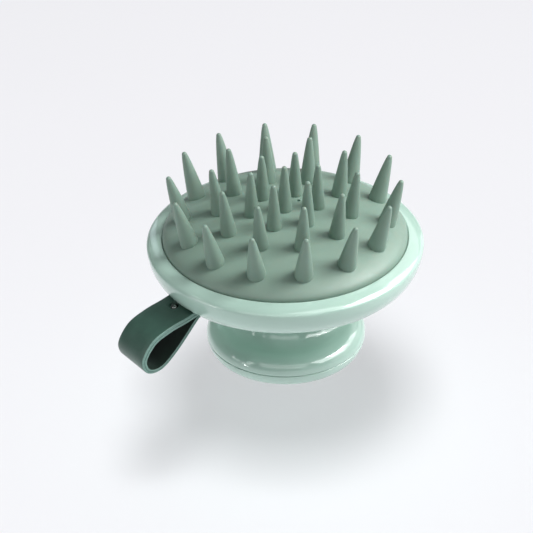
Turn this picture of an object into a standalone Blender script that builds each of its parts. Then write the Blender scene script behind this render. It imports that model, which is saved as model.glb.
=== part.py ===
"""Hand-held scalp massager: a knob-handled bowl that carries a domed silicone pad of cone bristles."""
import math

import bmesh
import bpy
from mathutils import Matrix, Vector

MM = 0.001
GAP = 0.3 * MM                      # clearance kept between touching pieces
TURN_SEGMENTS = 40                  # facets round the turned pieces

# Bowl: a dished head whose rounded rim frames the pad.
RIM_RADIUS = 42.5 * MM
RIM_WIDEST_Z = 38.1 * MM
RIM_ROUND = 7.4 * MM                # radial depth of the rounded rim
RIM_CROWN = 2.4 * MM                # rise of the rim above its widest line
BOWL_BASE_Z = 28.8 * MM
BOWL_FLOOR_Z = 31.3 * MM
SEAT_RADIUS = 37.7 * MM             # bore that the pad's skirt drops into
SEAT_Z = 36.2 * MM                  # ledge that the pad's lip is clamped against
CAVITY_RADIUS = 30.3 * MM

# Knob handle: a hollow spool with a snap-in end cap.
KNOB_RADIUS = 25.0 * MM
KNOB_WIDEST_Z = 5.1 * MM
KNOB_FOOT_RADIUS = 22.3 * MM
KNOB_SHOULDER = (19.5 * MM, 9.6 * MM)
NECK_RADIUS = 14.0 * MM
NECK_LOW_Z = 17.0 * MM
NECK_HIGH_Z = 20.0 * MM
FLARE_RADIUS = 20.0 * MM
FLARE_END = 96.0                    # degrees where the flare meets the bowl's underside
KNOB_WALL = 2.4 * MM
SEAM_Z = 4.1 * MM                   # parting line between the cap and the knob
SEAM_MARGIN = 0.2 * MM              # outline points nearer the seam than this are left out
CAP_PLUG_RADIUS = 22.1 * MM
CAP_PLUG_TOP_Z = 6.4 * MM
CAP_FLOOR_Z = 2.0 * MM

# Silicone pad: a dome with a skirt that wraps the backing plate.
PAD_RADIUS = 37.4 * MM
PAD_EDGE_Z = 40.5 * MM
PAD_RISE = 8.5 * MM
PAD_FLATNESS = 1.9                  # higher keeps the crown flat for longer
PAD_SHOULDER = 0.52                 # lower makes the shoulder rounder
PAD_WALL = 1.8 * MM
PAD_LIP_RADIUS = 33.0 * MM
PAD_LIP_THICKNESS = 1.4 * MM
VENT_RADIUS = 0.6 * MM
VENT_POSITION = (4.3 * MM, 5.7 * MM)

# Bristles: rings of (name, count, ring radius, first angle, lean, foot radius, length).
BRISTLE_RINGS = (
    ("outer", 14, 31.1 * MM, 99.3, 15.6, 2.9 * MM, 15.5 * MM),
    ("middle", 10, 20.0 * MM, 104.2, 7.8, 2.55 * MM, 15.2 * MM),
    ("inner", 6, 10.2 * MM, 70.9, 0.8, 2.4 * MM, 14.8 * MM),
    ("centre", 1, 0.0, 0.0, 0.0, 2.4 * MM, 15.2 * MM),
)
BRISTLE_TIP_RADIUS = 0.8 * MM
BRISTLE_TAPER = 0.8                 # under 1 swells the cone a little
BRISTLE_SEGMENTS = 12
BRISTLE_STATIONS = (0.3, 0.65, 0.94)

# Backing plate and the screws that hold pad, bowl and knob together.
PLATE_RADIUS = 35.2 * MM
PLATE_THICKNESS = 2.0 * MM
BOSS_RADIUS = 3.2 * MM
BOSS_BORE_DEPTH = 5.0 * MM
SCREW_COUNT = 3
SCREW_CIRCLE = 7.0 * MM
SCREW_HOLE_RADIUS = 1.4 * MM
SCREW_SHANK_RADIUS = 1.1 * MM
SCREW_HEAD_RADIUS = 2.4 * MM
SCREW_HEAD_HEIGHT = 1.7 * MM
SCREW_LENGTH = 9.5 * MM
SCREW_RECESS = (2.8 * MM, 0.7 * MM, 0.9 * MM)

# Strap: a teardrop loop hung from a pin in a slot under the rim.
STRAP_ANGLE = math.radians(217.0)
STRAP_WIDTH = 13.0 * MM
STRAP_THICK_UPPER = 2.0 * MM
STRAP_THICK_LOWER = 1.2 * MM
STRAP_OUTLINE = (                   # outer face, (radius, height) from the upper leg to the lower leg
    (38.0 * MM, 31.35 * MM), (42.5 * MM, 30.45 * MM), (48.5 * MM, 29.5 * MM), (54.6 * MM, 27.2 * MM),
    (58.5 * MM, 21.8 * MM), (56.9 * MM, 16.9 * MM), (51.9 * MM, 16.0 * MM), (45.8 * MM, 20.0 * MM),
    (37.4 * MM, 28.45 * MM),
)
STRAP_CURVE_STEPS = 5
EYE_STEPS = 10
PIN_CENTRE = (34.8 * MM, 31.2 * MM)
PIN_RADIUS = 1.0 * MM
PIN_LENGTH = 19.0 * MM
PIN_SEGMENTS = 16
SLOT_RANGE = (31.9 * MM, 40.4 * MM)
SLOT_WIDTH = 14.6 * MM
SLOT_TOP_Z = 34.2 * MM
EYE_SPAN = (-80.0, -280.0)          # degrees of the eye's back, round behind the pin
RIVET_AT = 41.2 * MM                # distance of the rivet from the brush's axis
RIVET_SIDE = -1.3 * MM              # its place across the strap, from the middle
RIVET_HEAD_RADIUS = 1.2 * MM
RIVET_HEAD_HEIGHT = 0.6 * MM
RIVET_SINK = 0.5 * MM               # how far the head's underside sits below the strap's face
RIVET_SHANK_RADIUS = 0.5 * MM
RIVET_TAIL_RADIUS = 0.9 * MM
RIVET_TAIL_THICKNESS = 0.4 * MM

MINT_PLASTIC = ((0.52, 0.69, 0.62, 1.0), 0.14, 0.0)
SAGE_SILICONE = ((0.21, 0.31, 0.26, 1.0), 0.5, 0.0)
DARK_STRAP = ((0.045, 0.10, 0.085, 1.0), 0.38, 0.0)
PLAIN_STEEL = ((0.55, 0.56, 0.57, 1.0), 0.3, 1.0)
PLATE_PLASTIC = ((0.40, 0.52, 0.47, 1.0), 0.45, 0.0)


def clear_scene():
    for thing in list(bpy.data.objects):
        bpy.data.objects.remove(thing, do_unlink=True)


def make_material(name, look):
    colour, roughness, metallic = look
    material = bpy.data.materials.new(name)
    material.use_nodes = True
    shader = material.node_tree.nodes["Principled BSDF"]
    shader.inputs["Base Color"].default_value = colour
    shader.inputs["Roughness"].default_value = roughness
    shader.inputs["Metallic"].default_value = metallic
    material.diffuse_color = colour
    return material


def object_from_bmesh(name, bm, look, smooth=True):
    bmesh.ops.recalc_face_normals(bm, faces=bm.faces)
    mesh = bpy.data.meshes.new(name)
    bm.to_mesh(mesh)
    bm.free()
    mesh.materials.append(make_material(name, look))
    if smooth:
        mesh.shade_smooth()
        mesh.set_sharp_from_angle(angle=math.radians(35.0))
    made = bpy.data.objects.new(name, mesh)
    bpy.context.collection.objects.link(made)
    return made


def turned_bmesh(profile, segments=TURN_SEGMENTS):
    """Closed solid of revolution about Z; the profile runs (radius, height) from axis to axis or in a loop."""
    bm = bmesh.new()
    rings = []
    for radius, height in profile:
        if radius < 1e-7:
            rings.append([bm.verts.new((0.0, 0.0, height))])
            continue
        ring = []
        for step in range(segments):
            angle = 2.0 * math.pi * step / segments
            ring.append(bm.verts.new((radius * math.cos(angle), radius * math.sin(angle), height)))
        rings.append(ring)
    pairs = list(zip(rings[:-1], rings[1:]))
    if len(rings[0]) > 1 and len(rings[-1]) > 1:
        pairs.append((rings[-1], rings[0]))
    for low, high in pairs:
        for step in range(segments):
            after = (step + 1) % segments
            corners = [low[step % len(low)], low[after % len(low)], high[after % len(high)], high[step % len(high)]]
            corners = list(dict.fromkeys(corners))
            if len(corners) > 2:
                bm.faces.new(corners)
    return bm


def elliptic_arc(centre, radial, vertical, start, end, steps):
    """Points of an ellipse from start to end degrees; 0 points outwards and 90 upwards."""
    points = []
    for step in range(steps + 1):
        angle = math.radians(start + (end - start) * step / steps)
        points.append((centre[0] + radial * math.cos(angle), centre[1] + vertical * math.sin(angle)))
    return points


def radial_matrix(angle, radius=0.0, height=0.0):
    """Local X points away from the brush's axis and local Z up."""
    place = Matrix.Translation((radius * math.cos(angle), radius * math.sin(angle), height))
    return place @ Matrix.Rotation(angle, 4, "Z")


def hide_cutter(cutter):
    cutter.hide_render = True
    cutter.display_type = "WIRE"
    return cutter


def add_boolean(target, other, operation):
    modifier = target.modifiers.new(other.name, "BOOLEAN")
    modifier.operation = operation
    modifier.object = other
    modifier.solver = "EXACT"


def box_cutter(name, low, high, matrix):
    bm = bmesh.new()
    bmesh.ops.create_cube(bm, size=1.0)
    size = [high[axis] - low[axis] for axis in range(3)]
    centre = [(high[axis] + low[axis]) / 2 for axis in range(3)]
    bmesh.ops.scale(bm, vec=size, verts=bm.verts)
    bmesh.ops.translate(bm, vec=centre, verts=bm.verts)
    bmesh.ops.transform(bm, matrix=matrix, verts=bm.verts)
    return hide_cutter(object_from_bmesh(name, bm, PLAIN_STEEL, smooth=False))


def rod_bmesh(radius, low, high, segments=PIN_SEGMENTS):
    return turned_bmesh([(0.0, low), (radius, low), (radius, high), (0.0, high)], segments)


def rod_cutter(name, radius, low, high, matrix, segments=PIN_SEGMENTS):
    bm = rod_bmesh(radius, low, high, segments)
    bmesh.ops.transform(bm, matrix=matrix, verts=bm.verts)
    return hide_cutter(object_from_bmesh(name, bm, PLAIN_STEEL, smooth=False))


def pin_matrix():
    """The pin lies across the strap, so its local Z runs round the rim."""
    lie_down = Matrix.Rotation(math.radians(90.0), 4, "X")
    return radial_matrix(STRAP_ANGLE, PIN_CENTRE[0], PIN_CENTRE[1]) @ lie_down


def screw_places():
    for index in range(SCREW_COUNT):
        yield 2.0 * math.pi * index / SCREW_COUNT + math.pi / 2


def pad_height(radius):
    """Height of the pad's outer face at a distance from the axis."""
    share = min(radius / PAD_RADIUS, 1.0)
    return PAD_EDGE_Z + PAD_RISE * (1.0 - share ** PAD_FLATNESS) ** PAD_SHOULDER


def knob_outline():
    """Outer face of the whole knob from its foot's edge up to the flare under the bowl."""
    shoulder_radius, shoulder_z = KNOB_SHOULDER
    foot = elliptic_arc((KNOB_FOOT_RADIUS, KNOB_WIDEST_Z), KNOB_RADIUS - KNOB_FOOT_RADIUS, KNOB_WIDEST_Z, -90, 0, 6)
    shoulder = elliptic_arc((shoulder_radius, KNOB_WIDEST_Z), KNOB_RADIUS - shoulder_radius,
                            shoulder_z - KNOB_WIDEST_Z, 0, 90, 6)
    waist = elliptic_arc((shoulder_radius, NECK_LOW_Z), shoulder_radius - NECK_RADIUS,
                         NECK_LOW_Z - shoulder_z, 270, 180, 6)
    flare = elliptic_arc((FLARE_RADIUS, NECK_HIGH_Z), FLARE_RADIUS - NECK_RADIUS,
                         BOWL_BASE_Z - GAP - NECK_HIGH_Z, 180, FLARE_END, 6)
    return foot + shoulder[1:] + waist[1:] + flare + [(FLARE_RADIUS, BOWL_BASE_Z - GAP)]


def outline_radius_at(outline, height):
    """Radius where a rising outline crosses a height."""
    for (r0, z0), (r1, z1) in zip(outline[:-1], outline[1:]):
        if z0 <= height <= z1 and z1 > z0:
            return r0 + (r1 - r0) * (height - z0) / (z1 - z0)
    return outline[-1][0]


def make_knob_cap():
    outline = knob_outline()
    edge = [point for point in outline if point[1] < SEAM_Z - SEAM_MARGIN]
    edge.append((outline_radius_at(outline, SEAM_Z), SEAM_Z))
    plug_inner = CAP_PLUG_RADIUS - KNOB_WALL
    profile = [(0.0, 0.0)] + edge + [
        (CAP_PLUG_RADIUS, SEAM_Z), (CAP_PLUG_RADIUS, CAP_PLUG_TOP_Z),
        (plug_inner, CAP_PLUG_TOP_Z), (plug_inner, CAP_FLOOR_Z), (0.0, CAP_FLOOR_Z)]
    return object_from_bmesh("knob_cap", turned_bmesh(profile), MINT_PLASTIC)


def make_knob_shell():
    outline = knob_outline()
    bottom_z = SEAM_Z + GAP
    outer = [(outline_radius_at(outline, bottom_z), bottom_z)]
    outer += [point for point in outline if point[1] > bottom_z + SEAM_MARGIN]
    mouth = CAP_PLUG_RADIUS + GAP
    neck_inner = NECK_RADIUS - KNOB_WALL
    ceiling_z = BOWL_BASE_Z - GAP - KNOB_WALL
    shoulder_z = KNOB_SHOULDER[1]
    inner = [(0.0, ceiling_z), (neck_inner, ceiling_z), (neck_inner, NECK_LOW_Z)]
    inner += elliptic_arc((KNOB_SHOULDER[0] - KNOB_WALL, NECK_LOW_Z), KNOB_SHOULDER[0] - KNOB_WALL - neck_inner,
                          NECK_LOW_Z - shoulder_z + KNOB_WALL, 180, 270, 4)[1:]
    inner += [(mouth, CAP_PLUG_TOP_Z + GAP), (mouth, bottom_z)]
    profile = [(0.0, BOWL_BASE_Z - GAP)] + list(reversed(outer)) + list(reversed(inner))
    knob = object_from_bmesh("knob_shell", turned_bmesh(profile), MINT_PLASTIC)
    for index, angle in enumerate(screw_places()):
        hole = rod_cutter(f"knob_screw_hole_{index}", SCREW_HOLE_RADIUS, ceiling_z - MM, BOWL_BASE_Z + MM,
                          radial_matrix(angle, SCREW_CIRCLE))
        add_boolean(knob, hole, "DIFFERENCE")
    return knob


def make_bowl():
    rim_centre = (RIM_RADIUS - RIM_ROUND, RIM_WIDEST_Z)
    under = elliptic_arc(rim_centre, RIM_ROUND, RIM_WIDEST_Z - BOWL_BASE_Z, -90, 0, 9)
    lip_angle = math.degrees(math.acos((SEAT_RADIUS + GAP - rim_centre[0]) / RIM_ROUND))
    crown = elliptic_arc(rim_centre, RIM_ROUND, RIM_CROWN, 0, lip_angle, 6)[1:]
    lip_z = crown[-1][1] - GAP
    floor_corner = elliptic_arc((CAVITY_RADIUS - 2 * MM, BOWL_FLOOR_Z + 2 * MM), 2 * MM, 2 * MM, 0, -90, 3)
    profile = [(0.0, BOWL_BASE_Z)] + under + crown + [
        (SEAT_RADIUS, lip_z), (SEAT_RADIUS, SEAT_Z), (CAVITY_RADIUS, SEAT_Z)] + floor_corner + [(0.0, BOWL_FLOOR_Z)]
    bowl = object_from_bmesh("bowl_shell", turned_bmesh(profile), MINT_PLASTIC)
    slot = box_cutter("strap_slot", (SLOT_RANGE[0], -SLOT_WIDTH / 2, BOWL_BASE_Z - 3 * MM),
                      (SLOT_RANGE[1], SLOT_WIDTH / 2, SLOT_TOP_Z), radial_matrix(STRAP_ANGLE))
    add_boolean(bowl, slot, "DIFFERENCE")
    bore_half = PIN_LENGTH / 2 + GAP
    bore = rod_cutter("pin_bore", PIN_RADIUS + GAP, -bore_half, bore_half, pin_matrix())
    add_boolean(bowl, bore, "DIFFERENCE")
    for index, angle in enumerate(screw_places()):
        hole = rod_cutter(f"bowl_screw_hole_{index}", SCREW_HOLE_RADIUS, BOWL_BASE_Z - MM, BOWL_FLOOR_Z + MM,
                          radial_matrix(angle, SCREW_CIRCLE))
        add_boolean(bowl, hole, "DIFFERENCE")
    return bowl


def dome_points(radius_limit, drop, steps):
    """Outer dome lowered by drop, from its edge in to the axis."""
    points = []
    for step in range(steps + 1):
        share = math.sin(math.pi / 2 * (1.0 - step / steps))
        radius = radius_limit * share
        points.append((radius, pad_height(radius) - drop))
    return points


def make_pad():
    lip_low = SEAT_Z + GAP
    lip_high = lip_low + PAD_LIP_THICKNESS
    skirt_inner = PLATE_RADIUS + GAP
    outer = dome_points(PAD_RADIUS, 0.0, 11)
    inner = list(reversed(dome_points(skirt_inner, PAD_WALL, 7)))
    profile = outer[::-1] + [(PAD_RADIUS, lip_low), (PAD_LIP_RADIUS, lip_low), (PAD_LIP_RADIUS, lip_high),
                             (skirt_inner, lip_high)] + inner[::-1]
    pad = object_from_bmesh("pad", turned_bmesh(profile), SAGE_SILICONE)
    vent = rod_cutter("pad_vent_hole", VENT_RADIUS, PAD_EDGE_Z, PAD_EDGE_Z + 2 * PAD_RISE,
                      Matrix.Translation((VENT_POSITION[0], VENT_POSITION[1], 0.0)), 8)
    add_boolean(pad, vent, "DIFFERENCE")
    return pad


def make_backing_plate():
    top_drop = PAD_WALL + GAP
    edge_low = SEAT_Z + GAP + PAD_LIP_THICKNESS + GAP
    top = dome_points(PLATE_RADIUS, top_drop, 6)
    under_radius = PAD_LIP_RADIUS - GAP
    under = dome_points(under_radius, top_drop + PLATE_THICKNESS, 4)
    profile = top[::-1] + [(PLATE_RADIUS, edge_low), (under_radius, edge_low)] + under
    plate = object_from_bmesh("backing_plate", turned_bmesh(profile), PLATE_PLASTIC)
    boss_low = BOWL_FLOOR_Z + GAP
    boss_high = pad_height(SCREW_CIRCLE + BOSS_RADIUS) - top_drop - PLATE_THICKNESS / 2
    for index, angle in enumerate(screw_places()):
        place = radial_matrix(angle, SCREW_CIRCLE)
        boss = rod_cutter(f"plate_boss_{index}", BOSS_RADIUS, boss_low, boss_high, place)
        add_boolean(plate, boss, "UNION")
    for index, angle in enumerate(screw_places()):
        place = radial_matrix(angle, SCREW_CIRCLE)
        bore = rod_cutter(f"boss_bore_{index}", SCREW_HOLE_RADIUS, boss_low - MM, boss_low + BOSS_BORE_DEPTH, place)
        add_boolean(plate, bore, "DIFFERENCE")
    return plate


def make_screws():
    head_top = BOWL_BASE_Z - GAP - KNOB_WALL - GAP
    head_low = head_top - SCREW_HEAD_HEIGHT
    tip_z = head_top + SCREW_LENGTH
    profile = [(0.0, head_low)]
    profile += elliptic_arc((SCREW_HEAD_RADIUS - MM, head_low + MM), MM, MM, -90, 0, 3)
    profile += [(SCREW_HEAD_RADIUS, head_top), (SCREW_SHANK_RADIUS, head_top),
                (SCREW_SHANK_RADIUS, tip_z - MM), (0.0, tip_z)]
    length, width, depth = SCREW_RECESS
    for index, angle in enumerate(screw_places()):
        screw = object_from_bmesh(f"screw_{index + 1}", turned_bmesh(profile, PIN_SEGMENTS), PLAIN_STEEL)
        screw.location = (SCREW_CIRCLE * math.cos(angle), SCREW_CIRCLE * math.sin(angle), 0.0)
        for arm, (along, across) in enumerate(((length, width), (width, length))):
            low = (-along / 2, -across / 2, head_low - MM)
            high = (along / 2, across / 2, head_low + depth)
            place = Matrix.Translation(screw.location)
            add_boolean(screw, box_cutter(f"screw_{index + 1}_recess_{arm}", low, high, place), "DIFFERENCE")


def bristle_mesh(name, ring_radius, lean, foot_radius, length):
    """Cone whose foot follows the dome; local X points away from the brush's axis."""
    bm = bmesh.new()
    foot_z = pad_height(ring_radius)
    axis = Vector((math.sin(lean), 0.0, math.cos(lean)))
    side = Vector((math.cos(lean), 0.0, -math.sin(lean)))
    across = Vector((0.0, 1.0, 0.0))

    def ring(distance, radius):
        spots = []
        for step in range(BRISTLE_SEGMENTS):
            angle = 2.0 * math.pi * step / BRISTLE_SEGMENTS
            spots.append(axis * distance + side * radius * math.cos(angle) + across * radius * math.sin(angle))
        return spots

    foot = ring(0.0, foot_radius)
    for spot in foot:
        spot.z = pad_height(math.hypot(ring_radius + spot.x, spot.y)) - foot_z + GAP
    rings = [foot]
    for share in BRISTLE_STATIONS:
        radius = BRISTLE_TIP_RADIUS + (foot_radius - BRISTLE_TIP_RADIUS) * (1.0 - share) ** BRISTLE_TAPER
        rings.append(ring(length * share, radius))
    rings.append(ring(length - 0.25 * BRISTLE_TIP_RADIUS, 0.6 * BRISTLE_TIP_RADIUS))
    vert_rings = [[bm.verts.new(spot) for spot in spots] for spots in rings]
    for low, high in zip(vert_rings[:-1], vert_rings[1:]):
        for step in range(BRISTLE_SEGMENTS):
            after = (step + 1) % BRISTLE_SEGMENTS
            bm.faces.new((low[step], low[after], high[after], high[step]))
    for spots, centre in ((vert_rings[0], Vector((0.0, 0.0, GAP))), (vert_rings[-1], axis * length)):
        hub = bm.verts.new(centre)
        for step in range(BRISTLE_SEGMENTS):
            bm.faces.new((spots[step], spots[(step + 1) % BRISTLE_SEGMENTS], hub))
    template = object_from_bmesh(name, bm, SAGE_SILICONE)
    mesh = template.data
    bpy.data.objects.remove(template)
    return mesh


def make_bristles():
    for name, count, ring_radius, first, lean, foot_radius, length in BRISTLE_RINGS:
        mesh = bristle_mesh(f"bristle_{name}", ring_radius, math.radians(lean), foot_radius, length)
        for index in range(count):
            angle = math.radians(first) - 2.0 * math.pi * index / count
            bristle = bpy.data.objects.new(f"bristle_{name}_{index + 1:02d}", mesh)
            bristle.matrix_world = radial_matrix(angle, ring_radius, pad_height(ring_radius))
            bpy.context.collection.objects.link(bristle)


def smooth_path(points, steps):
    """Catmull-Rom curve through the points."""
    ends = [2 * Vector(points[0]) - Vector(points[1])] + [Vector(point) for point in points]
    ends.append(2 * Vector(points[-1]) - Vector(points[-2]))
    path = []
    for index in range(1, len(ends) - 2):
        p0, p1, p2, p3 = ends[index - 1:index + 3]
        for step in range(steps):
            t = step / steps
            path.append(0.5 * (2 * p1 + (p2 - p0) * t + (2 * p0 - 5 * p1 + 4 * p2 - p3) * t ** 2
                               + (3 * p1 - p0 - 3 * p2 + p3) * t ** 3))
    path.append(ends[-2])
    return path


def strap_outlines():
    """Closed (radius, height) outlines: the outer face with the eye's back, the loop's inside, and the eye."""
    outer = smooth_path(STRAP_OUTLINE, STRAP_CURVE_STEPS)
    inner = []
    for index, point in enumerate(outer):
        ahead = outer[min(index + 1, len(outer) - 1)] - outer[max(index - 1, 0)]
        inward = Vector((ahead.y, -ahead.x)).normalized()
        share = index / (len(outer) - 1)
        thickness = STRAP_THICK_UPPER + (STRAP_THICK_LOWER - STRAP_THICK_UPPER) * share
        inner.append(point + inward * thickness)
    loop_inside = inner[2:-2]
    pin = Vector(PIN_CENTRE)
    eye_outer = PIN_RADIUS + GAP + STRAP_THICK_LOWER
    back = []
    for step in range(EYE_STEPS + 1):
        angle = math.radians(EYE_SPAN[0] + (EYE_SPAN[1] - EYE_SPAN[0]) * step / EYE_STEPS)
        back.append(pin + eye_outer * Vector((math.cos(angle), math.sin(angle))))
    eye = []
    for step in range(PIN_SEGMENTS):
        angle = 2.0 * math.pi * step / PIN_SEGMENTS
        eye.append(pin + (PIN_RADIUS + GAP) * Vector((math.cos(angle), math.sin(angle))))
    return outer + back, loop_inside, eye


def strap_matrix():
    """Local X is the distance from the axis, local Y the height, and local Z runs across the strap."""
    return radial_matrix(STRAP_ANGLE) @ Matrix.Rotation(math.radians(90.0), 4, "X")


def make_strap():
    bm = bmesh.new()
    edges = []
    for outline in strap_outlines():
        verts = [bm.verts.new((point[0], point[1], -STRAP_WIDTH / 2)) for point in outline]
        edges += [bm.edges.new((verts[index - 1], verts[index])) for index in range(len(verts))]
    filled = bmesh.ops.triangle_fill(bm, use_beauty=True, use_dissolve=False, edges=edges)
    faces = [item for item in filled["geom"] if isinstance(item, bmesh.types.BMFace)]
    grown = bmesh.ops.extrude_face_region(bm, geom=faces, use_keep_orig=True)
    moved = [item for item in grown["geom"] if isinstance(item, bmesh.types.BMVert)]
    bmesh.ops.translate(bm, vec=(0.0, 0.0, STRAP_WIDTH), verts=moved)
    bmesh.ops.transform(bm, matrix=strap_matrix(), verts=bm.verts)
    strap = object_from_bmesh("strap", bm, DARK_STRAP)
    pocket_floor = -RIVET_SINK - GAP
    hole = rod_cutter("rivet_hole", RIVET_SHANK_RADIUS + GAP, -STRAP_THICK_UPPER - MM, MM, rivet_matrix())
    pocket = rod_cutter("rivet_pocket", RIVET_HEAD_RADIUS + GAP, pocket_floor, MM, rivet_matrix())
    add_boolean(strap, hole, "DIFFERENCE")
    add_boolean(strap, pocket, "DIFFERENCE")
    return strap


def rivet_matrix():
    """Origin on the strap's upper face, local Z straight out of that face."""
    outer = smooth_path(STRAP_OUTLINE, STRAP_CURVE_STEPS)
    index = min(range(len(outer) // 2), key=lambda k: abs(outer[k].x - RIVET_AT))
    along = outer[index + 1] - outer[index - 1]
    tilt = Matrix.Rotation(-math.atan2(along.y, along.x), 4, "Y")
    place = radial_matrix(STRAP_ANGLE, outer[index].x, outer[index].y)
    return place @ Matrix.Translation((0.0, RIVET_SIDE, 0.0)) @ tilt


def make_rivet():
    tail_top = -STRAP_THICK_UPPER - GAP
    tail_low = tail_top - RIVET_TAIL_THICKNESS
    head = elliptic_arc((0.0, -RIVET_SINK), RIVET_HEAD_RADIUS, RIVET_HEAD_HEIGHT, 90, 0, 4)
    profile = [(0.0, head[0][1])] + head[1:] + [
        (RIVET_SHANK_RADIUS, -RIVET_SINK), (RIVET_SHANK_RADIUS, tail_top), (RIVET_TAIL_RADIUS, tail_top),
        (RIVET_TAIL_RADIUS, tail_low), (0.0, tail_low)]
    bm = turned_bmesh(profile, PIN_SEGMENTS)
    bmesh.ops.transform(bm, matrix=rivet_matrix(), verts=bm.verts)
    return object_from_bmesh("strap_rivet", bm, PLAIN_STEEL)


def make_strap_pin():
    bm = rod_bmesh(PIN_RADIUS, -PIN_LENGTH / 2, PIN_LENGTH / 2)
    pin = object_from_bmesh("strap_pin", bm, PLAIN_STEEL)
    pin.matrix_world = pin_matrix()
    return pin


def hang_on_swing(*pieces):
    """The strap and its rivet turn about the pin, so their parent empty sits on the pin's axis."""
    swing = bpy.data.objects.new("strap_swing", None)
    swing.matrix_world = pin_matrix()
    bpy.context.collection.objects.link(swing)
    bpy.context.view_layer.update()
    for piece in pieces:
        piece.parent = swing
        piece.matrix_parent_inverse = swing.matrix_world.inverted()


def main():
    clear_scene()
    make_knob_cap()
    make_knob_shell()
    make_bowl()
    make_pad()
    make_backing_plate()
    make_screws()
    make_bristles()
    make_strap_pin()
    strap = make_strap()
    rivet = make_rivet()
    hang_on_swing(strap, rivet)


main()
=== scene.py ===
"""Scalp massager brush: fine surfaces, materials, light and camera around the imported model."""
import math

import bmesh
import bpy
from mathutils import Matrix, Vector


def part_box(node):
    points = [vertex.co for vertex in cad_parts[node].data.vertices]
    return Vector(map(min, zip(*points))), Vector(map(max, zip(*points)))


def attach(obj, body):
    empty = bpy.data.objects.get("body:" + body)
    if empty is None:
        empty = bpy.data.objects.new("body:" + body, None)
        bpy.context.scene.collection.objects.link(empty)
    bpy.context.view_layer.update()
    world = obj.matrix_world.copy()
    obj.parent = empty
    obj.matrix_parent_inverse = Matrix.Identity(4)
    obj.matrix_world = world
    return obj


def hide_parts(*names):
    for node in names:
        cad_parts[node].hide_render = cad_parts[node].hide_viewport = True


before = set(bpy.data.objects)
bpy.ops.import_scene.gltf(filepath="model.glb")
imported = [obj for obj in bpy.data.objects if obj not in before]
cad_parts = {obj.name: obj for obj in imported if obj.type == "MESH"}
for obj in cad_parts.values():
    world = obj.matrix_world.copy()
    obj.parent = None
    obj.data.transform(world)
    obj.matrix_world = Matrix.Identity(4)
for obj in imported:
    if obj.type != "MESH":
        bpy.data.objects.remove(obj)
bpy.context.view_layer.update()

MM = 0.001
BRUSH = "brush"
STRAP = "strap"

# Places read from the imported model.
RIM_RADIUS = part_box("bowl_shell")[1][0]
BOWL_BASE_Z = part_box("bowl_shell")[0][2]
PAD_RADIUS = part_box("pad")[1][0]
PAD_TOP_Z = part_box("pad")[1][2]
PAD_LOW_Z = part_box("pad")[0][2]
KNOB_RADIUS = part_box("knob_shell")[1][0]
KNOB_TOP_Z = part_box("knob_shell")[1][2]

# Bowl section, as in the model.
RIM_WIDEST_Z = 38.1 * MM
RIM_ROUND = 7.4 * MM
SEAT_RADIUS = 37.7 * MM
LIP_ROUND = 0.35 * MM
BOWL_SHELL_DEPTH = 2.5 * MM
CROWN_RISE = 2.4 * MM
SEAT_GAP = 0.3 * MM
PLATE_OVERHANG = 4.9 * MM

# Knob section.
KNOB_WIDEST_Z = 5.1 * MM
KNOB_FOOT_RADIUS = 22.3 * MM
KNOB_SHOULDER = (19.5 * MM, 9.6 * MM)
NECK_RADIUS = 14.0 * MM
NECK_LOW_Z = 17.0 * MM
NECK_HIGH_Z = 20.0 * MM
FLARE_RADIUS = 20.0 * MM
SEAM_Z = 4.25 * MM
SEAM_GAP = 0.16 * MM
SEAM_ROUND = 0.22 * MM
SEAM_DEPTH = 1.4 * MM
KNOB_WALL = 2.4 * MM
KNOB_INNER_LOW_Z = 6.9 * MM
PLUG_GAP = 0.3 * MM
PLUG_TOP_Z = 6.3 * MM
CAP_FLOOR = 2.0 * MM

# Pad section.
PAD_EDGE_Z = 40.5 * MM
PAD_RISE = PAD_TOP_Z - PAD_EDGE_Z
PAD_FLATNESS = 1.9
PAD_SHOULDER = 0.52
PAD_WALL = 1.8 * MM
PAD_FINE_RADIUS = SEAT_RADIUS - 0.12 * MM
VENT_RADIUS = 0.6 * MM
VENT_POSITION = (4.3 * MM, 5.7 * MM)

# Bristles: (name, count, ring radius, first angle, lean, foot radius, length), angles in degrees.
BRISTLE_RINGS = (
    ("outer", 14, 31.1 * MM, 99.3, 15.6, 2.9 * MM, 15.5 * MM),
    ("middle", 10, 20.0 * MM, 104.2, 7.8, 2.55 * MM, 15.2 * MM),
    ("inner", 6, 10.2 * MM, 70.9, 0.8, 2.4 * MM, 14.8 * MM),
    ("centre", 1, 0.0, 0.0, 0.0, 2.4 * MM, 15.2 * MM),
)
BRISTLE_TIP_RADIUS = 0.8 * MM
BRISTLE_TAPER = 0.8
BRISTLE_SINK = 0.1 * MM
FOOT_CREASE = 0.18 * MM
BRISTLE_SEGMENTS = 40

# Strap.
STRAP_ANGLE = math.radians(217.0)
STRAP_WIDTH = 12.9 * MM
STRAP_THICK_UPPER = 2.0 * MM
STRAP_THICK_LOWER = 1.15 * MM
STRAP_OUTLINE = (
    (38.0 * MM, 31.35 * MM), (42.5 * MM, 30.45 * MM), (48.5 * MM, 29.5 * MM), (54.6 * MM, 27.2 * MM),
    (58.5 * MM, 21.8 * MM), (56.9 * MM, 16.9 * MM), (51.9 * MM, 16.0 * MM), (45.8 * MM, 20.0 * MM),
    (37.4 * MM, 28.45 * MM),
)
STRAP_STEPS = 14
STRAP_CORNER = 0.3 * MM
EDGE_LINE_HALF = 0.12 * MM
EDGE_LINE_DEPTH = 0.12 * MM
PIN_CENTRE = (34.8 * MM, 31.2 * MM)
PIN_HOLE_RADIUS = 1.3 * MM
SLOT_RANGE = (31.9 * MM, 40.4 * MM)
SLOT_WIDTH = 14.6 * MM
SLOT_TOP_Z = 34.2 * MM
SLOT_OVERRUN = 3 * MM
SLOT_CORNER = 0.8 * MM
RIVET_AT = 41.2 * MM
RIVET_SIDE = -1.3 * MM
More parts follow.
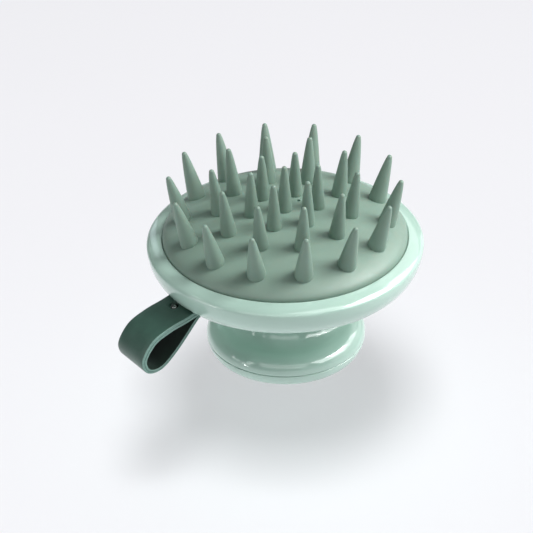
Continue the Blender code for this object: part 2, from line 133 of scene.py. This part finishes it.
RIVET_HEAD_RADIUS = 1.15 * MM
RIVET_SINK = 0.5 * MM
RIVET_HEAD_EDGE = 0.2 * MM
RIVET_SHANK_RADIUS = 0.5 * MM
RIVET_TAIL_RADIUS = 0.9 * MM
RIVET_TAIL_EDGE = 0.4 * MM
RIVET_TAIL_HEIGHT = 0.55 * MM
RIVET_TAIL_FACE = 0.7 * MM
POCKET_RADIUS = 1.6 * MM
POCKET_ROUND = 0.3 * MM

# Camera along the photograph's line of sight. Angles in degrees, the lens in millimetres.
CAMERA_ELEVATION = 32.8
CAMERA_ROLL = -0.94
CAMERA_DISTANCE = 0.6189
CAMERA_AIM = (-5.83 * MM, 0.0, 28.56 * MM)
CAMERA_LENS = 135.08
FLOOR_Z = -31.0 * MM


# ---------------------------------------------------------------- mesh helpers

def finish_mesh(name, bm, materials, sharp_angle=35.0):
    bmesh.ops.remove_doubles(bm, verts=bm.verts, dist=1e-7)
    bmesh.ops.recalc_face_normals(bm, faces=bm.faces)
    mesh = bpy.data.meshes.new(name)
    bm.to_mesh(mesh)
    bm.free()
    for material in materials:
        mesh.materials.append(material)
    mesh.shade_smooth()
    mesh.set_sharp_from_angle(angle=math.radians(sharp_angle))
    made = bpy.data.objects.new(name, mesh)
    bpy.context.scene.collection.objects.link(made)
    return made


def elliptic_arc(centre, radial, vertical, start, end, steps):
    points = []
    for step in range(steps + 1):
        angle = math.radians(start + (end - start) * step / steps)
        points.append((centre[0] + radial * math.cos(angle), centre[1] + vertical * math.sin(angle)))
    return points


def turned(profile, segments=192):
    """Surface of revolution about Z through (radius, height) points, closed if neither end is on the axis."""
    bm = bmesh.new()
    rings = []
    for radius, height in profile:
        if radius < 1e-7:
            rings.append([bm.verts.new((0.0, 0.0, height))])
            continue
        ring = []
        for step in range(segments):
            angle = 2.0 * math.pi * step / segments
            ring.append(bm.verts.new((radius * math.cos(angle), radius * math.sin(angle), height)))
        rings.append(ring)
    pairs = list(zip(rings[:-1], rings[1:]))
    if len(rings[0]) > 1 and len(rings[-1]) > 1:
        pairs.append((rings[-1], rings[0]))
    for low, high in pairs:
        for step in range(segments):
            after = (step + 1) % segments
            corners = [low[step % len(low)], low[after % len(low)],
                       high[after % len(high)], high[step % len(high)]]
            corners = list(dict.fromkeys(corners))
            if len(corners) > 2:
                bm.faces.new(corners)
    return bm


def radial_matrix(angle, radius=0.0, height=0.0):
    place = Matrix.Translation((radius * math.cos(angle), radius * math.sin(angle), height))
    return place @ Matrix.Rotation(angle, 4, "Z")


def cut_away(target, cutter_bm):
    """Subtracts a closed mesh from a piece and keeps the result as the piece's own mesh."""
    cutter = finish_mesh("cutter", cutter_bm, [])
    modifier = target.modifiers.new("cut", "BOOLEAN")
    modifier.operation = "DIFFERENCE"
    modifier.object = cutter
    modifier.solver = "EXACT"
    bpy.context.view_layer.update()
    graph = bpy.context.evaluated_depsgraph_get()
    cut = bpy.data.meshes.new_from_object(target.evaluated_get(graph))
    target.modifiers.clear()
    target.data = cut
    bpy.data.objects.remove(cutter)
    cut.set_sharp_from_angle(angle=math.radians(35.0))


def smooth_path(points, steps):
    """Catmull-Rom curve through the points."""
    ends = [2 * Vector(points[0]) - Vector(points[1])] + [Vector(point) for point in points]
    ends.append(2 * Vector(points[-1]) - Vector(points[-2]))
    path = []
    for index in range(1, len(ends) - 2):
        p0, p1, p2, p3 = ends[index - 1:index + 3]
        for step in range(steps):
            t = step / steps
            path.append(0.5 * (2 * p1 + (p2 - p0) * t + (2 * p0 - 5 * p1 + 4 * p2 - p3) * t ** 2
                               + (3 * p1 - p0 - 3 * p2 + p3) * t ** 3))
    path.append(ends[-2])
    return path


def smoothstep(low, high, value):
    t = min(max((value - low) / (high - low), 0.0), 1.0)
    return t * t * (3.0 - 2.0 * t)


# ---------------------------------------------------------------- materials

class Nodes:
    """Short calls to build a node material."""

    def __init__(self, name):
        self.material = bpy.data.materials.new(name)
        self.material.use_nodes = True
        self.tree = self.material.node_tree
        self.shader = self.tree.nodes["Principled BSDF"]
        self.coordinates = self.tree.nodes.new("ShaderNodeTexCoord").outputs["Object"]

    def add(self, kind, **inputs):
        node = self.tree.nodes.new(kind)
        for name, value in inputs.items():
            socket = node.inputs[name.replace("_", " ")]
            if isinstance(value, bpy.types.NodeSocket):
                self.tree.links.new(value, socket)
            else:
                socket.default_value = value
        return node

    def noise(self, scale, detail=3.0, roughness=0.55):
        return self.add("ShaderNodeTexNoise", Vector=self.coordinates, Scale=scale, Detail=detail,
                        Roughness=roughness).outputs["Fac"]

    def remap(self, value, low, high, start=0.3, stop=0.7):
        node = self.add("ShaderNodeMapRange")
        for index, setting in enumerate((value, start, stop, low, high)):
            if isinstance(setting, bpy.types.NodeSocket):
                self.tree.links.new(setting, node.inputs[index])
            else:
                node.inputs[index].default_value = setting
        return node.outputs[0]

    def mix(self, factor, first, second):
        node = self.tree.nodes.new("ShaderNodeMix")
        node.data_type = "RGBA"
        settings = ((node.inputs["Factor"], factor), (node.inputs[6], first), (node.inputs[7], second))
        for socket, value in settings:
            if isinstance(value, bpy.types.NodeSocket):
                self.tree.links.new(value, socket)
            else:
                socket.default_value = value
        return node.outputs[2]

    def bump(self, height, distance, strength=1.0, normal=None):
        node = self.add("ShaderNodeBump", Height=height, Distance=distance, Strength=strength)
        if normal is not None:
            self.tree.links.new(normal, node.inputs["Normal"])
        return node.outputs["Normal"]

    def link(self, socket, value):
        self.tree.links.new(value, self.shader.inputs[socket])

    def constant(self, **values):
        for name, value in values.items():
            self.shader.inputs[name.replace("_", " ")].default_value = value


def shade(colour, factor):
    return tuple(channel * factor for channel in colour[:3]) + (1.0,)


def mint_plastic(name, colour):
    """Polished, slightly milky moulded plastic with a faint surface wave and fine handling marks."""
    nodes = Nodes(name)
    cloud = nodes.noise(60.0, 2.0)
    tone = nodes.mix(nodes.remap(cloud, 0.0, 1.0), shade(colour, 0.97), shade(colour, 1.02))
    nodes.link("Base Color", tone)
    smear = nodes.noise(420.0, 5.0, 0.65)
    nodes.link("Roughness", nodes.remap(smear, 0.09, 0.17))
    wave = nodes.noise(180.0, 1.0)
    fine = nodes.noise(2600.0, 2.0)
    nodes.link("Normal", nodes.bump(fine, 0.000004, 0.25, nodes.bump(wave, 0.00002, 0.12)))
    nodes.constant(IOR=1.5, Subsurface_Weight=0.12, Subsurface_Scale=0.002, Coat_Weight=0.7,
                   Coat_Roughness=0.06)
    nodes.shader.inputs["Subsurface Radius"].default_value = (1.0, 1.2, 1.1)
    return nodes.material


def sage_silicone(name, colour):
    """Matte silicone: a fine eroded grain, soft sheen and slight cloudiness."""
    nodes = Nodes(name)
    cloud = nodes.noise(90.0, 3.0)
    speck = nodes.noise(5200.0, 2.0)
    tone = nodes.mix(nodes.remap(cloud, 0.0, 1.0), shade(colour, 0.95), shade(colour, 1.04))
    tone = nodes.mix(nodes.remap(speck, 0.0, 0.12), tone, shade(colour, 1.25))
    nodes.link("Base Color", tone)
    nodes.link("Roughness", nodes.remap(nodes.noise(700.0, 4.0), 0.42, 0.56))
    nodes.link("Normal", nodes.bump(speck, 0.00002, 0.25))
    nodes.constant(IOR=1.43, Subsurface_Weight=0.08, Subsurface_Scale=0.0015, Sheen_Weight=0.12,
                   Sheen_Roughness=0.4)
    nodes.shader.inputs["Sheen Tint"].default_value = (0.8, 0.95, 0.88, 1.0)
    return nodes.material


def strap_face(name, colour):
    """Satin coated strap with a pebbled grain."""
    nodes = Nodes(name)
    pebble = nodes.add("ShaderNodeTexVoronoi", Vector=nodes.coordinates, Scale=2300.0).outputs["Distance"]
    cloud = nodes.noise(160.0, 4.0)
    tone = nodes.mix(nodes.remap(cloud, 0.0, 1.0), shade(colour, 0.88), shade(colour, 1.14))
    nodes.link("Base Color", tone)
    nodes.link("Roughness", nodes.remap(nodes.noise(900.0, 4.0), 0.3, 0.44))
    nodes.link("Normal", nodes.bump(pebble, 0.00003, 0.22, nodes.bump(cloud, 0.0001, 0.1)))
    nodes.constant(IOR=1.5, Sheen_Weight=0.05, Sheen_Roughness=0.5)
    return nodes.material


def strap_edge(name, colour):
    """Sealed cut edge, lighter than the face, with fibres running along it."""
    nodes = Nodes(name)
    fibre = nodes.noise(1500.0, 4.0)
    nodes.link("Base Color", nodes.mix(nodes.remap(fibre, 0.0, 1.0), shade(colour, 0.85), shade(colour, 1.1)))
    nodes.link("Roughness", nodes.remap(nodes.noise(600.0), 0.35, 0.5))
    nodes.link("Normal", nodes.bump(fibre, 0.00003, 0.3))
    nodes.constant(IOR=1.5)
    return nodes.material


def steel(name, colour):
    """Plain turned steel with fine machining lines."""
    nodes = Nodes(name)
    lines = nodes.noise(3000.0, 4.0)
    nodes.link("Base Color", nodes.mix(nodes.remap(lines, 0.0, 1.0), shade(colour, 0.9), shade(colour, 1.08)))
    nodes.link("Roughness", nodes.remap(nodes.noise(800.0), 0.2, 0.34))
    nodes.link("Normal", nodes.bump(lines, 0.00001, 0.2))
    nodes.constant(Metallic=1.0)
    return nodes.material


def inner_plastic(name, colour):
    """Unpolished moulded plastic of the hidden backing plate."""
    nodes = Nodes(name)
    grain = nodes.noise(2400.0, 3.0)
    tone = nodes.mix(nodes.remap(grain, 0.0, 1.0), shade(colour, 0.95), shade(colour, 1.04))
    nodes.link("Base Color", tone)
    nodes.link("Roughness", nodes.remap(grain, 0.4, 0.55))
    nodes.link("Normal", nodes.bump(grain, 0.00002, 0.3))
    return nodes.material


MINT = mint_plastic("mint_plastic", (0.47, 0.665, 0.575))
SAGE = sage_silicone("sage_silicone", (0.215, 0.315, 0.256))
FACE = strap_face("strap_face", (0.046, 0.112, 0.084))
# Darker copy of the strap face for the loop's inner side: painted shade, as the inside of the loop lies in
# shadow.
STRAP_INSIDE_SHADED = strap_face("strap_inside_painted_shade", (0.020, 0.040, 0.030))
EDGE = strap_edge("strap_edge", (0.19, 0.34, 0.29))
EDGE_LINE = strap_edge("strap_edge_line", (0.11, 0.22, 0.185))
STEEL = steel("steel", (0.55, 0.56, 0.57))
DARK_STEEL = steel("dark_steel", (0.20, 0.22, 0.21))
INNER = inner_plastic("inner_plastic", (0.40, 0.52, 0.47))


def place(piece, body, slot, *nodes):
    """The piece rides on a body and stands for CAD nodes, which are hidden. The slot is not used."""
    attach(piece, body)
    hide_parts(*nodes)


# ---------------------------------------------------------------- the brush

def pad_height(radius):
    share = min(radius / PAD_RADIUS, 1.0)
    return PAD_EDGE_Z + PAD_RISE * (1.0 - share ** PAD_FLATNESS) ** PAD_SHOULDER


def make_bowl():
    rim_centre = (RIM_RADIUS - RIM_ROUND, RIM_WIDEST_Z)
    under = elliptic_arc(rim_centre, RIM_ROUND, RIM_WIDEST_Z - BOWL_BASE_Z, -90, 0, 28)
    lip_start = SEAT_RADIUS + LIP_ROUND
    lip_angle = math.degrees(math.acos((lip_start - rim_centre[0]) / RIM_ROUND))
    crown = elliptic_arc(rim_centre, RIM_ROUND, CROWN_RISE, 0, lip_angle, 18)[1:]
    lip = elliptic_arc((lip_start, crown[-1][1] - LIP_ROUND), LIP_ROUND, LIP_ROUND, 90, 180, 5)[1:]
    seat_z = PAD_LOW_Z - SEAT_GAP
    inner_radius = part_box("backing_plate")[1][0] - PLATE_OVERHANG
    floor_z = BOWL_BASE_Z + BOWL_SHELL_DEPTH
    profile = [(0.0, BOWL_BASE_Z), (FLARE_RADIUS, BOWL_BASE_Z)] + under + crown + lip + [
        (SEAT_RADIUS, seat_z), (inner_radius, seat_z), (inner_radius, floor_z), (0.0, floor_z)]
    bowl = finish_mesh("bowl_fine", turned(profile), [MINT])
    slot = bmesh.new()
    bmesh.ops.create_cube(slot, size=1.0)
    slot_height = SLOT_TOP_Z - BOWL_BASE_Z + SLOT_OVERRUN
    bmesh.ops.scale(slot, vec=(SLOT_RANGE[1] - SLOT_RANGE[0], SLOT_WIDTH, slot_height), verts=slot.verts)
    slot_middle = (sum(SLOT_RANGE) / 2, 0.0, (SLOT_TOP_Z + BOWL_BASE_Z - SLOT_OVERRUN) / 2)
    bmesh.ops.translate(slot, vec=slot_middle, verts=slot.verts)
    bmesh.ops.bevel(slot, geom=slot.edges[:], offset=SLOT_CORNER, segments=4, affect="EDGES")
    bmesh.ops.transform(slot, matrix=radial_matrix(STRAP_ANGLE), verts=slot.verts)
    cut_away(bowl, slot)
    place(bowl, BRUSH, "mint_plastic", "bowl_shell")


def knob_outline(bottom_z):
    """Knob's outer face above a height, up to the flare under the bowl, and the whole of its foot's arc."""
    radius, shoulder_z = KNOB_SHOULDER
    foot = elliptic_arc((KNOB_FOOT_RADIUS, KNOB_WIDEST_Z), KNOB_RADIUS - KNOB_FOOT_RADIUS,
                        KNOB_WIDEST_Z, -90, 0, 30)
    shoulder = elliptic_arc((radius, KNOB_WIDEST_Z), KNOB_RADIUS - radius,
                            shoulder_z - KNOB_WIDEST_Z, 0, 90, 20)
    waist = elliptic_arc((radius, NECK_LOW_Z), radius - NECK_RADIUS, NECK_LOW_Z - shoulder_z, 270, 180, 20)
    flare = elliptic_arc((FLARE_RADIUS, NECK_HIGH_Z), FLARE_RADIUS - NECK_RADIUS,
                         KNOB_TOP_Z - NECK_HIGH_Z, 180, 92, 20)
    path = foot + shoulder[1:] + waist[1:] + flare + [(FLARE_RADIUS, KNOB_TOP_Z)]
    return [point for point in path if point[1] > bottom_z], foot


def make_knob():
    outline, foot = knob_outline(SEAM_Z + SEAM_GAP + SEAM_ROUND)
    edge_radius = next(point[0] for point in foot if point[1] > SEAM_Z)
    lip = elliptic_arc((edge_radius - SEAM_ROUND, SEAM_Z + SEAM_GAP + SEAM_ROUND), SEAM_ROUND,
                       SEAM_ROUND, -90, -15, 5)
    inner = edge_radius - SEAM_DEPTH
    profile = [(inner, SEAM_Z + SEAM_GAP)] + lip + outline + [
        (0.0, KNOB_TOP_Z), (0.0, KNOB_TOP_Z - KNOB_WALL), (NECK_RADIUS - KNOB_WALL, KNOB_TOP_Z - KNOB_WALL),
        (NECK_RADIUS - KNOB_WALL, NECK_LOW_Z), (KNOB_SHOULDER[0] - KNOB_WALL, KNOB_SHOULDER[1] - KNOB_WALL),
        (inner, KNOB_INNER_LOW_Z)]
    knob = finish_mesh("knob_fine", turned(profile), [MINT])
    place(knob, BRUSH, "mint_plastic", "knob_shell")
    cap_side = [point for point in foot if point[1] < SEAM_Z - SEAM_ROUND]
    cap_top = elliptic_arc((edge_radius - SEAM_ROUND, SEAM_Z - SEAM_ROUND), SEAM_ROUND, SEAM_ROUND, 15, 90, 5)
    cap_profile = [(0.0, 0.0)] + cap_side + cap_top + [
        (inner - PLUG_GAP, SEAM_Z), (inner - PLUG_GAP, PLUG_TOP_Z), (inner - KNOB_WALL, PLUG_TOP_Z),
        (inner - KNOB_WALL, CAP_FLOOR), (0.0, CAP_FLOOR)]
    cap = finish_mesh("knob_cap_fine", turned(cap_profile), [MINT])
    place(cap, BRUSH, "mint_plastic", "knob_cap")


def make_pad():
    outer = []
    steps = 60
    for step in range(steps + 1):
        radius = PAD_RADIUS * math.sin(math.pi / 2 * step / steps)
        outer.append((radius * PAD_FINE_RADIUS / PAD_RADIUS, pad_height(radius)))
    low_z = PAD_LOW_Z
    inner_radius = PAD_RADIUS - PAD_WALL
    inner = []
    for step in range(13):
        radius = inner_radius * (1.0 - step / 12)
        inner.append((radius, pad_height(radius) - PAD_WALL))
    profile = outer + [(PAD_FINE_RADIUS, low_z), (inner_radius, low_z)] + inner
    pad = finish_mesh("pad_fine", turned(profile), [SAGE])
    vent = turned([(0.0, 0.0), (VENT_RADIUS, 0.0), (VENT_RADIUS, 0.1), (0.0, 0.1)], 24)
    bmesh.ops.translate(vent, vec=(VENT_POSITION[0], VENT_POSITION[1], PAD_EDGE_Z), verts=vent.verts)
    cut_away(pad, vent)
    place(pad, BRUSH, "sage_silicone", "pad")


def bristle_mesh(name, ring_radius, lean, foot_radius, length):
    """Round-tipped cone with its foot sunk a little into the dome; local X points away from the axis."""
    bm = bmesh.new()
    foot_z = pad_height(ring_radius)
    axis = Vector((math.sin(lean), 0.0, math.cos(lean)))
    side = Vector((math.cos(lean), 0.0, -math.sin(lean)))
    across = Vector((0.0, 1.0, 0.0))
    shoulder = length - BRISTLE_TIP_RADIUS
    stations = [(shoulder * step / 22, None) for step in range(1, 23)]
    for step in range(1, 8):
        angle = math.pi / 2 * step / 8
        stations.append((shoulder + BRISTLE_TIP_RADIUS * math.sin(angle),
                         BRISTLE_TIP_RADIUS * math.cos(angle)))
    foot = []
    rings = []
    for step in range(BRISTLE_SEGMENTS):
        angle = 2.0 * math.pi * step / BRISTLE_SEGMENTS
        crease = foot_radius - FOOT_CREASE
        spot = side * crease * math.cos(angle) + across * crease * math.sin(angle)
        spot.z = pad_height(math.hypot(ring_radius + spot.x, spot.y)) - foot_z - BRISTLE_SINK
        foot.append(bm.verts.new(spot))
    rings.append(foot)
    for distance, radius in stations:
        if radius is None:
            share = distance / shoulder
            taper = (1.0 - share) ** BRISTLE_TAPER
            radius = BRISTLE_TIP_RADIUS + (foot_radius - BRISTLE_TIP_RADIUS) * taper
        ring = []
        for step in range(BRISTLE_SEGMENTS):
            angle = 2.0 * math.pi * step / BRISTLE_SEGMENTS
            spot = axis * distance + side * radius * math.cos(angle) + across * radius * math.sin(angle)
            if distance < shoulder / 10:
                spot.z = max(spot.z, foot[step].co.z + BRISTLE_SINK + 0.12 * MM)
            ring.append(bm.verts.new(spot))
        rings.append(ring)
    for low, high in zip(rings[:-1], rings[1:]):
        for step in range(BRISTLE_SEGMENTS):
            after = (step + 1) % BRISTLE_SEGMENTS
            bm.faces.new((low[step], low[after], high[after], high[step]))
    for ring, hub_place in ((rings[0], Vector((0.0, 0.0, -BRISTLE_SINK))), (rings[-1], axis * length)):
        hub = bm.verts.new(hub_place)
        for step in range(BRISTLE_SEGMENTS):
            bm.faces.new((ring[step], ring[(step + 1) % BRISTLE_SEGMENTS], hub))
    template = finish_mesh(name, bm, [SAGE], 60.0)
    mesh = template.data
    bpy.data.objects.remove(template)
    return mesh


def make_bristles():
    for name, count, ring_radius, first, lean, foot_radius, length in BRISTLE_RINGS:
        mesh = bristle_mesh(f"bristle_{name}_mesh", ring_radius, math.radians(lean), foot_radius, length)
        for index in range(count):
            angle = math.radians(first) - 2.0 * math.pi * index / count
            node = f"bristle_{name}_{index + 1:02d}"
            bristle = bpy.data.objects.new(f"{node}_fine", mesh)
            bristle.matrix_world = radial_matrix(angle, ring_radius, pad_height(ring_radius))
            bpy.context.scene.collection.objects.link(bristle)
            place(bristle, BRUSH, "sage_silicone", node)


# ---------------------------------------------------------------- the strap

def strap_path():
    """Closed centre line as (point, outward direction, thickness): round the loop, then round the pin."""
    outer = smooth_path(STRAP_OUTLINE, STRAP_STEPS)
    count = len(outer)
    stations = []
    for index, point in enumerate(outer):
        ahead = outer[min(index + 1, count - 1)] - outer[max(index - 1, 0)]
        inward = Vector((ahead.y, -ahead.x)).normalized()
        share = index / (count - 1)
        thickness = STRAP_THICK_UPPER + (STRAP_THICK_LOWER - STRAP_THICK_UPPER) * smoothstep(0.4, 0.8, share)
        stations.append((point + inward * thickness / 2, -inward, thickness))
    pin = Vector(PIN_CENTRE)
    eye = PIN_HOLE_RADIUS + STRAP_THICK_LOWER / 2
    for step in range(21):
        angle = math.radians(-80.0 - 200.0 * step / 20)
        outward = Vector((math.cos(angle), math.sin(angle)))
        stations.append((pin + eye * outward, outward, STRAP_THICK_LOWER))
    return stations


def strap_section(thickness):
    """Round-cornered section with a shallow line along each cut edge, as (across, out) points."""
    half = STRAP_WIDTH / 2
    top = thickness / 2
    right = []
    for degrees in (0, 30, 60, 90):
        angle = math.radians(degrees)
        right.append((half - STRAP_CORNER + STRAP_CORNER * math.sin(angle),
                      top - STRAP_CORNER + STRAP_CORNER * math.cos(angle)))
    floor = half - EDGE_LINE_DEPTH
    right += [(half, EDGE_LINE_HALF * 1.6), (floor, EDGE_LINE_HALF * 0.4), (floor, -EDGE_LINE_HALF * 0.4),
              (half, -EDGE_LINE_HALF * 1.6)]
    right += [(x, -y) for x, y in reversed(right[:4])]
    left = [(-x, y) for x, y in reversed(right)]
    inset = [(half * share, top) for share in (-0.6, -0.2, 0.2, 0.6)]
    return right + [(-x, -top) for x, _ in inset] + left + inset


def make_strap():
    bm = bmesh.new()
    stations = strap_path()
    frame_matrix = radial_matrix(STRAP_ANGLE) @ Matrix.Rotation(math.radians(90.0), 4, "X")
    rings = []
    for centre, outward, thickness in stations:
        ring = []
        for across, out in strap_section(thickness):
            spot = centre + outward * out
            ring.append(bm.verts.new(frame_matrix @ Vector((spot.x, spot.y, across))))
        rings.append(ring)
    section = strap_section(STRAP_THICK_UPPER)
    half = STRAP_WIDTH / 2
    for low, high in zip(rings, rings[1:] + rings[:1]):
        for index in range(len(section)):
            after = (index + 1) % len(section)
            face = bm.faces.new((low[index], low[after], high[after], high[index]))
            middle = abs(section[index][0] + section[after][0]) / 2
            depth = min(abs(section[index][0]), abs(section[after][0]))
            if middle > half - 0.2 * MM:
                in_line = depth < half - 0.05 * MM and abs(section[index][1]) < 0.3 * MM
                face.material_index = 2 if in_line else 1
            elif section[index][1] < 0.0:
                # The loop's inner face takes the darker copy of the strap face: painted shade.
                face.material_index = 3
    strap = finish_mesh("strap_fine", bm, [FACE, EDGE, EDGE_LINE, STRAP_INSIDE_SHADED], 50.0)
    press_dimple(strap)
    place(strap, STRAP, "dark_strap", "strap")


def rivet_matrix():
    """Origin on the strap's upper face, local Z straight out of that face."""
    outer = smooth_path(STRAP_OUTLINE, STRAP_STEPS)
    index = min(range(len(outer) // 2), key=lambda k: abs(outer[k].x - RIVET_AT))
    along = outer[index + 1] - outer[index - 1]
    tilt = Matrix.Rotation(-math.atan2(along.y, along.x), 4, "Y")
    place = radial_matrix(STRAP_ANGLE, outer[index].x, outer[index].y)
    return place @ Matrix.Translation((0.0, RIVET_SIDE, 0.0)) @ tilt


def press_dimple(strap):
    """Round-sided pocket that the rivet's head is pressed into."""
    floor = -RIVET_SINK - 0.1 * MM
    corner = elliptic_arc((POCKET_RADIUS - POCKET_ROUND, floor + POCKET_ROUND), POCKET_ROUND, POCKET_ROUND,
                          -90, 0, 5)
    profile = [(0.0, floor)] + corner
    profile += [(POCKET_RADIUS, -0.15 * MM), (POCKET_RADIUS + POCKET_ROUND, 0.05 * MM),
                (POCKET_RADIUS + POCKET_ROUND, 1.0 * MM), (0.0, 1.0 * MM)]
    pocket = turned(profile, 48)
    bmesh.ops.transform(pocket, matrix=rivet_matrix(), verts=pocket.verts)
    cut_away(strap, pocket)


def make_rivet():
    dome = elliptic_arc((0.0, -RIVET_SINK), RIVET_HEAD_RADIUS, RIVET_SINK + 0.05 * MM, 90, 0, 14)
    under_head = -RIVET_SINK - RIVET_HEAD_EDGE
    tail = -STRAP_THICK_UPPER
    profile = [(0.0, dome[0][1])] + dome[1:] + [
        (RIVET_HEAD_RADIUS, under_head), (RIVET_SHANK_RADIUS, under_head),
        (RIVET_SHANK_RADIUS, tail), (RIVET_TAIL_RADIUS, tail), (RIVET_TAIL_RADIUS, tail - RIVET_TAIL_EDGE),
        (RIVET_TAIL_FACE, tail - RIVET_TAIL_HEIGHT), (0.0, tail - RIVET_TAIL_HEIGHT)]
    bm = turned(profile, 64)
    bmesh.ops.transform(bm, matrix=rivet_matrix(), verts=bm.verts)
    rivet = finish_mesh("strap_rivet_fine", bm, [DARK_STEEL])
    place(rivet, STRAP, "steel", "strap_rivet")


def dress_hidden_nodes():
    """CAD pieces whose shape already serves keep it and take a finished material."""
    finishes = {"backing_plate": INNER, "strap_pin": STEEL, "screw_1": STEEL, "screw_2": STEEL,
                "screw_3": STEEL}
    for name, material in finishes.items():
        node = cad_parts[name]
        for slot in node.material_slots:
            slot.material = material
        if not node.material_slots:
            node.data.materials.append(material)


# ---------------------------------------------------------------- stage

def make_floor():
    nodes = Nodes("floor")
    nodes.link("Base Color", nodes.mix(nodes.remap(nodes.noise(3.0), 0.0, 1.0), (0.83, 0.835, 0.86, 1.0),
                                       (0.84, 0.845, 0.87, 1.0)))
    nodes.constant(Roughness=0.8, Specular_IOR_Level=0.1)
    bm = bmesh.new()
    bmesh.ops.create_grid(bm, x_segments=1, y_segments=1, size=6.0)
    bmesh.ops.translate(bm, vec=(0.0, 0.0, FLOOR_Z), verts=bm.verts)
    floor = finish_mesh("floor", bm, [nodes.material])
    return floor


def area_light(name, location, target, size, power, colour=(1.0, 1.0, 1.0)):
    data = bpy.data.lights.new(name, "AREA")
    data.shape = "RECTANGLE"
    data.size, data.size_y = size
    data.energy = power
    data.color = colour
    light = bpy.data.objects.new(name, data)
    light.location = location
    light.rotation_euler = (Vector(target) - Vector(location)).to_track_quat("-Z", "Y").to_euler()
    bpy.context.scene.collection.objects.link(light)
    return light


def toward(azimuth, elevation, distance):
    """Place seen from the object at an azimuth from +X and an elevation, in degrees."""
    flat = distance * math.cos(math.radians(elevation))
    return (flat * math.cos(math.radians(azimuth)), flat * math.sin(math.radians(azimuth)),
            0.02 + distance * math.sin(math.radians(elevation)))


def limit_light(light, receiver, state):
    """Makes the light reach only this receiver (INCLUDE) or everything except it (EXCLUDE)."""
    receivers = bpy.data.collections.new(f"{light.name}_receivers")
    receivers.objects.link(receiver)
    light.light_linking.receiver_collection = receivers
    receivers.collection_objects[0].light_linking.link_state = state


def make_lights(floor):
    centre = (0.0, 0.0, 0.03)
    white = (1.0, 1.0, 1.0)
    # (name, azimuth, elevation, distance, (width, height), power, colour, lights matt surfaces too)
    on_object = (
        ("key", 0.0, 48.0, 0.6, (0.30, 0.30), 3.9, white, True),
        ("window_front", -20.0, 38.0, 1.0, (0.74, 0.50), 6.5, white, False),
        ("window_middle", 20.0, 38.0, 1.0, (0.74, 0.50), 5.0, white, False),
        ("window_back", 60.0, 38.0, 1.0, (0.74, 0.50), 1.4, white, False),
        ("low_window", 15.0, 13.0, 1.0, (1.8, 0.40), 2.4, white, True),
        ("overhead", -40.0, 68.0, 1.0, (0.5, 0.5), 2.0, white, True),
        ("front_card", -95.0, 40.0, 1.2, (1.3, 0.8), 5.0, white, False),
        ("front_low", -85.0, -1.0, 0.7, (0.8, 0.06), 0.15, white, True),
        ("left_fill", -155.0, 22.0, 1.0, (0.5, 0.5), 2.2, white, True),
        ("left_glint", 178.0, 49.0, 0.8, (0.12, 0.03), 0.12, white, False),
        ("front_glint", -146.0, -2.0, 0.8, (0.09, 0.05), 0.6, white, False),
        ("back_window", 116.0, 20.0, 1.0, (0.15, 0.5), 0.25, (0.80, 0.92, 1.0), False),
    )
    for name, azimuth, elevation, distance, size, power, colour, matt in on_object:
        light = area_light(name, toward(azimuth, elevation, distance), centre, size, power, colour)
        light.visible_diffuse = matt
        light.visible_camera = False
        limit_light(light, floor, "EXCLUDE")
    foot = (0.0, 0.0, FLOOR_Z)
    over_floor = area_light("over_floor", toward(-90.0, 74.0, 2.0), foot, (0.7, 0.9), 20.5, (0.98, 1.0, 1.0))
    floor_fill = area_light("floor_fill", toward(60.0, 80.0, 2.0), foot, (1.5, 1.5), 27.0, (1.0, 0.97, 0.975))
    floor_fill.data.use_shadow = False
    for light in (over_floor, floor_fill):
        limit_light(light, floor, "INCLUDE")
    world = bpy.data.worlds.new("studio")
    world.use_nodes = True
    background = world.node_tree.nodes["Background"]
    background.inputs["Color"].default_value = (0.95, 0.96, 1.0, 1.0)
    background.inputs["Strength"].default_value = 0.12
    bpy.context.scene.world = world


def make_camera():
    data = bpy.data.cameras.new("camera")
    data.lens = CAMERA_LENS
    data.sensor_width = 36.0
    camera = bpy.data.objects.new("camera", data)
    elevation = math.radians(CAMERA_ELEVATION)
    aim = Vector(CAMERA_AIM)
    location = aim + CAMERA_DISTANCE * Vector((0.0, -math.cos(elevation), math.sin(elevation)))
    tilt = Matrix.Rotation(math.radians(90.0) - elevation, 4, "X")
    turn = tilt @ Matrix.Rotation(math.radians(CAMERA_ROLL), 4, "Z")
    camera.matrix_world = Matrix.Translation(location) @ turn
    bpy.context.scene.collection.objects.link(camera)
    bpy.context.scene.camera = camera


make_bowl()
make_knob()
make_pad()
make_bristles()
make_strap()
make_rivet()
dress_hidden_nodes()
make_lights(make_floor())
make_camera()
bpy.context.scene.view_settings.view_transform = "Standard"
